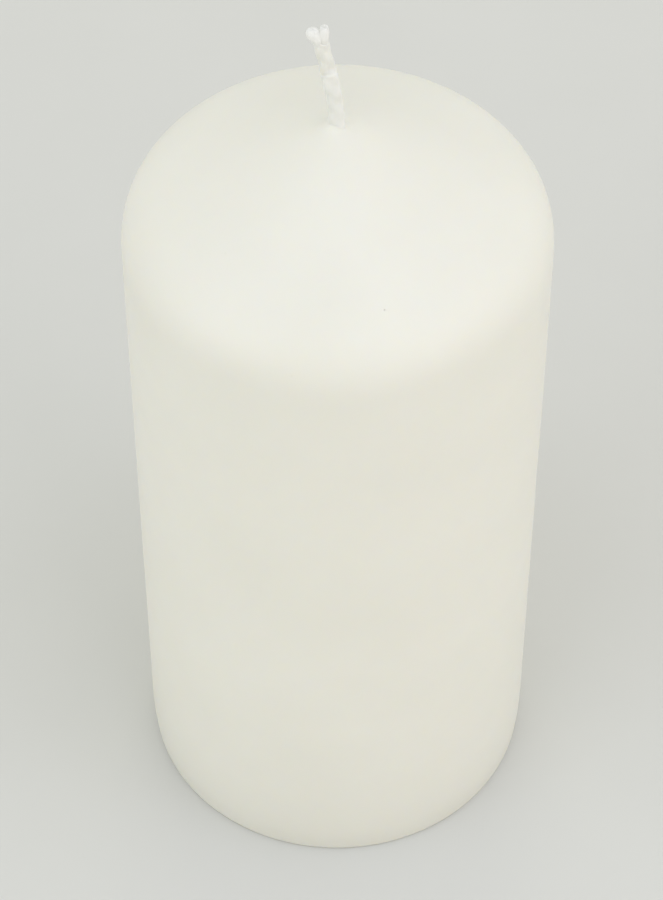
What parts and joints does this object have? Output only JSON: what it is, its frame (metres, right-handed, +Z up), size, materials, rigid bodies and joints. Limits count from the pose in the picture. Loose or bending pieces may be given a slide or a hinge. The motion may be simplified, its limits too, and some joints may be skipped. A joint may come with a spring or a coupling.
{
  "type": "pillar candle",
  "caption": "Cylindrical wax pillar candle with a conical top, rounded shoulder and a plaited cotton wick that bends at the wax.",
  "frame": {"origin": "centre of the candle's base, on the surface that it stands on", "axes": "+Z up along the candle's axis, +X away from the side that the wick leans to, +Y towards the back"},
  "size_m": [0.068, 0.068, 0.1675],
  "materials": {
    "dipped_wax": "satin ivory wax, slightly translucent",
    "core_wax": "matt pressed wax",
    "tinplate": "bright rolled tinplate",
    "wick_cotton": "wax-soaked cotton",
    "tail_cotton": "waxed cotton, bare and white at the tip"
  },
  "bodies": {
    "candle": {"overdip_coat": "dipped_wax", "wax_core": "core_wax", "wick_sustainer": "tinplate", "wick_strand_1": "wick_cotton", "wick_strand_2": "wick_cotton", "wick_strand_3": "wick_cotton"},
    "wick_tail": {"wick_tail_strand_1": "tail_cotton", "wick_tail_strand_2": "tail_cotton", "wick_tail_strand_3": "tail_cotton"}
  },
  "joints": [
    {"name": "wick_bend", "type": "hinge", "parent": "candle", "child": "wick_tail", "pos_m": [0, 0, 0.1495], "axis": [0, 1, 0], "range_deg": [-40, 60]}
  ]
}
